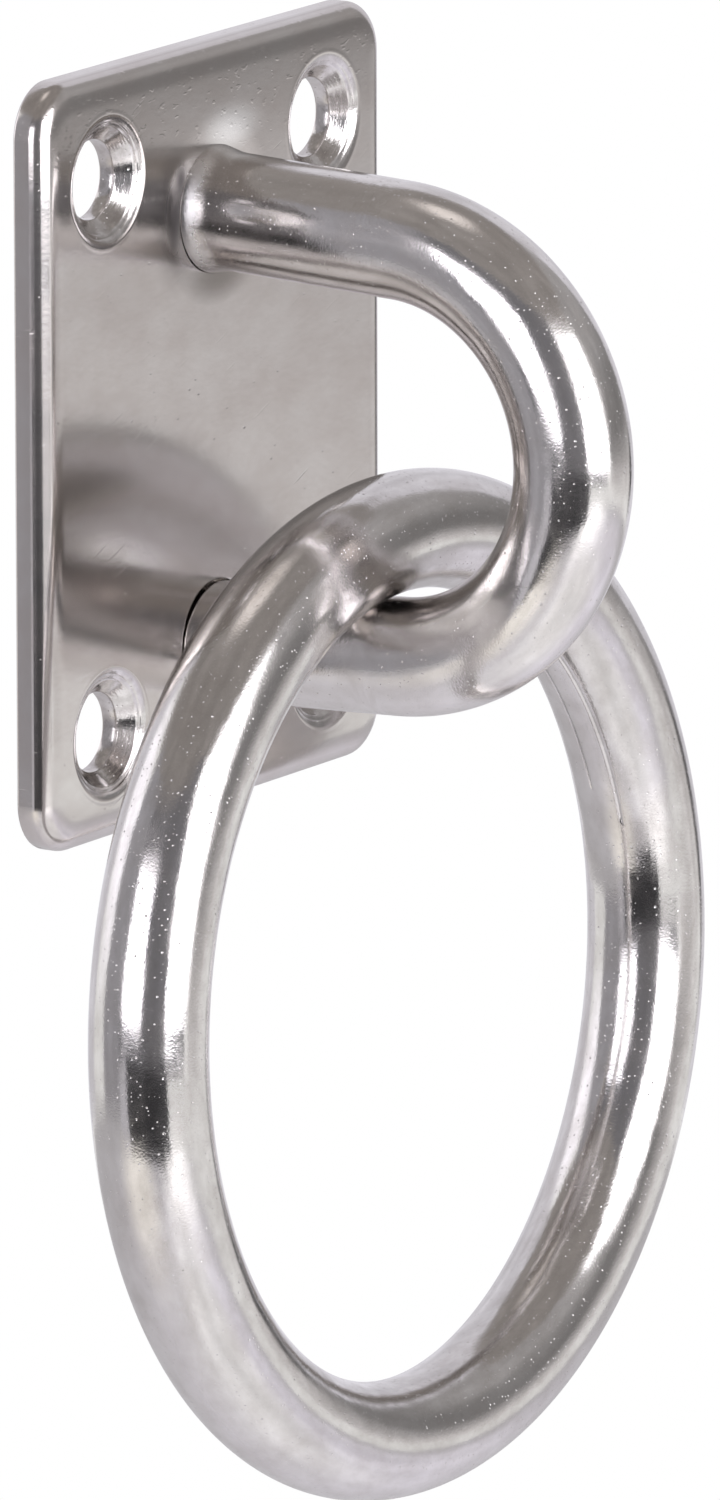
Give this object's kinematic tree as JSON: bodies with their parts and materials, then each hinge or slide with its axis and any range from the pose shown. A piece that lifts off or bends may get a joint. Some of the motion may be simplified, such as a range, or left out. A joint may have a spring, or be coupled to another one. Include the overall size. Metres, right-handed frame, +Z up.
{
  "type": "mooring ring on an eye plate",
  "caption": "Loose round-rod ring hanging in a bent-rod eye that is welded to a rectangular screw-on plate with countersunk holes.",
  "frame": {"origin": "centre of the plate's back face, where it meets the wall", "axes": "+Z up along the plate, +Y out of the back face into the wall, so the eye and the ring stand in front towards -Y, +X to the right as seen from the front"},
  "size_m": [0.0666, 0.0333, 0.0935],
  "materials": {
    "plate_steel": "polished stainless steel sheet",
    "rod_steel": "polished stainless steel rod",
    "weld_steel": "weld metal ground flush"
  },
  "bodies": {
    "eye_plate": {"back_plate": "plate_steel", "eye_staple": "rod_steel", "upper_leg_weld": "weld_steel", "lower_leg_weld": "weld_steel"},
    "loose_ring": {"ring": "rod_steel"}
  },
  "joints": [
    {"name": "ring_swing", "type": "hinge", "parent": "eye_plate", "child": "loose_ring", "pos_m": [0, -0.01535, -0.00573], "axis": [-1, 0, 0], "range_deg": [-12.5, 188.5]}
  ]
}
